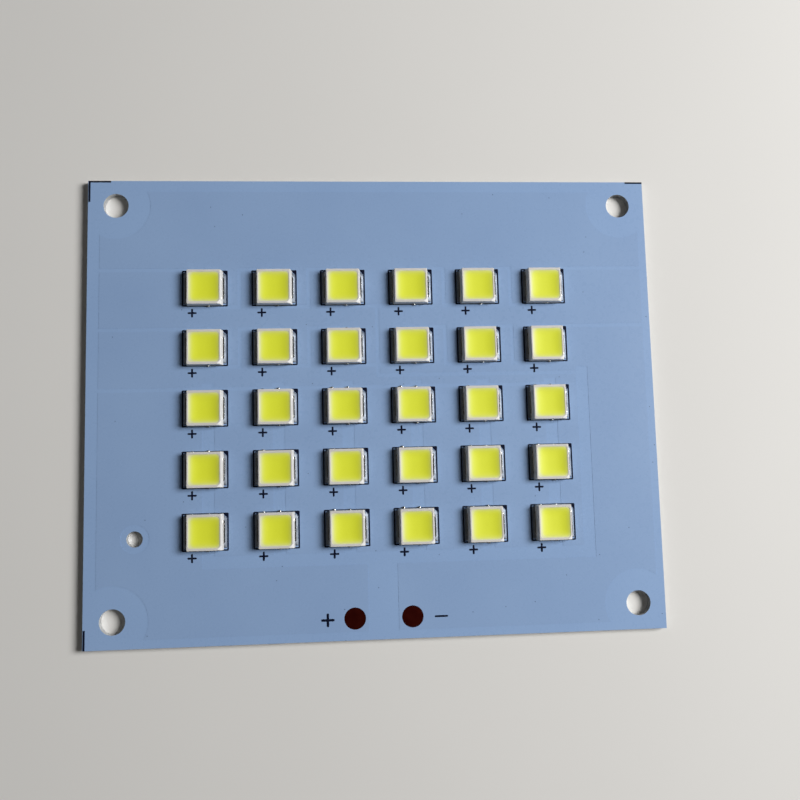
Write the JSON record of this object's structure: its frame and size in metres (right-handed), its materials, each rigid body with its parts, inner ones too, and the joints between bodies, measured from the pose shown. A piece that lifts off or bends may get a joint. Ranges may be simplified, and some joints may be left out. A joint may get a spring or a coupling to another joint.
{
  "type": "smd led board",
  "caption": "Rectangular aluminium-core circuit board with a grid of white surface-mount LEDs, corner screw holes and two wire pads, lighting a floodlight.",
  "frame": {"origin": "middle of the plate's back face, which is the lowest face of the board", "axes": "+Z out of the lit face, +X along the long side towards the negative wire pad, +Y away from the wire pads"},
  "size_m": [0.081, 0.0654, 0.0025],
  "materials": {
    "aluminium_plate": "mill finish",
    "dielectric": "filled epoxy",
    "copper": "dulled bare copper",
    "solder_mask": "satin ink",
    "legend_ink": "printed ink",
    "white_moulding": "moulded",
    "phosphor": "cast silicone",
    "plated_leads": "silver plated",
    "solder": "reflowed",
    "die": "sawn crystal",
    "gold_wire": "drawn gold"
  },
  "bodies": {
    "root": {"base_plate": "aluminium_plate", "dielectric_layer": "dielectric", "copper_tracks": "copper", "solder_mask": "solder_mask", "legend_print": "legend_ink", "led_housing_r1c1": "white_moulding", "led_housing_r1c2": "white_moulding", "led_housing_r1c3": "white_moulding", "led_housing_r1c4": "white_moulding", "led_housing_r1c5": "white_moulding", "led_housing_r1c6": "white_moulding", "led_housing_r2c1": "white_moulding", "led_housing_r2c2": "white_moulding", "led_housing_r2c3": "white_moulding", "led_housing_r2c4": "white_moulding", "led_housing_r2c5": "white_moulding", "led_housing_r2c6": "white_moulding", "led_housing_r3c1": "white_moulding", "led_housing_r3c2": "white_moulding", "led_housing_r3c3": "white_moulding", "led_housing_r3c4": "white_moulding", "led_housing_r3c5": "white_moulding", "led_housing_r3c6": "white_moulding", "led_housing_r4c1": "white_moulding", "led_housing_r4c2": "white_moulding", "led_housing_r4c3": "white_moulding", "led_housing_r4c4": "white_moulding", "led_housing_r4c5": "white_moulding", "led_housing_r4c6": "white_moulding", "led_housing_r5c1": "white_moulding", "led_housing_r5c2": "white_moulding", "led_housing_r5c3": "white_moulding", "led_housing_r5c4": "white_moulding", "led_housing_r5c5": "white_moulding", "led_housing_r5c6": "white_moulding", "phosphor_fill_row_1": "phosphor", "phosphor_fill_row_2": "phosphor", "phosphor_fill_row_3": "phosphor", "phosphor_fill_row_4": "phosphor", "phosphor_fill_row_5": "phosphor", "lead_frames_row_1": "plated_leads", "lead_frames_row_2": "plated_leads", "lead_frames_row_3": "plated_leads", "lead_frames_row_4": "plated_leads", "lead_frames_row_5": "plated_leads", "solder_joints_row_1": "solder", "solder_joints_row_2": "solder", "solder_joints_row_3": "solder", "solder_joints_row_4": "solder", "solder_joints_row_5": "solder", "led_dies_row_1": "die", "led_dies_row_2": "die", "led_dies_row_3": "die", "led_dies_row_4": "die", "led_dies_row_5": "die", "bond_wires_row_1": "gold_wire", "bond_wires_row_2": "gold_wire", "bond_wires_row_3": "gold_wire", "bond_wires_row_4": "gold_wire", "bond_wires_row_5": "gold_wire"}
  },
  "joints": []
}
